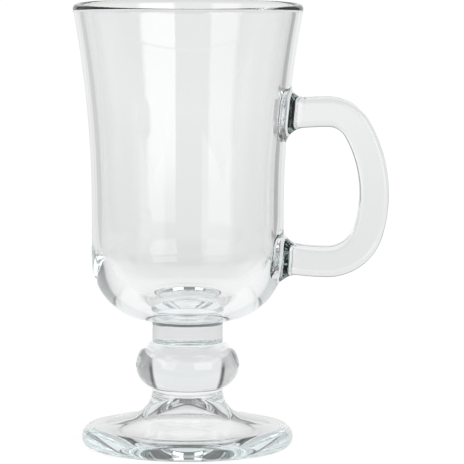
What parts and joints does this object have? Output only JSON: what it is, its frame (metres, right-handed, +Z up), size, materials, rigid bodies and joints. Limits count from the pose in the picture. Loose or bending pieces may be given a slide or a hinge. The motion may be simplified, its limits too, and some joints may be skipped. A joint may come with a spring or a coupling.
{
  "type": "irish coffee mug",
  "caption": "Clear glass mug for hot drinks: a bowl that flares to a rounded rim, a D-shaped side handle, a knopped stem and a round hollow foot.",
  "frame": {"origin": "the mug's axis on the table plane, in the middle of the foot's resting ring", "axes": "+Z up along the mug's axis, +X from the axis towards the handle, +Y completes the right-handed frame"},
  "size_m": [0.1028, 0.0748, 0.145],
  "materials": {
    "clear_glass": "fire-polished clear glass"
  },
  "bodies": {
    "root": {"bowl": "clear_glass", "stem_collar": "clear_glass", "stem_knop": "clear_glass", "foot": "clear_glass", "handle": "clear_glass"}
  },
  "joints": []
}
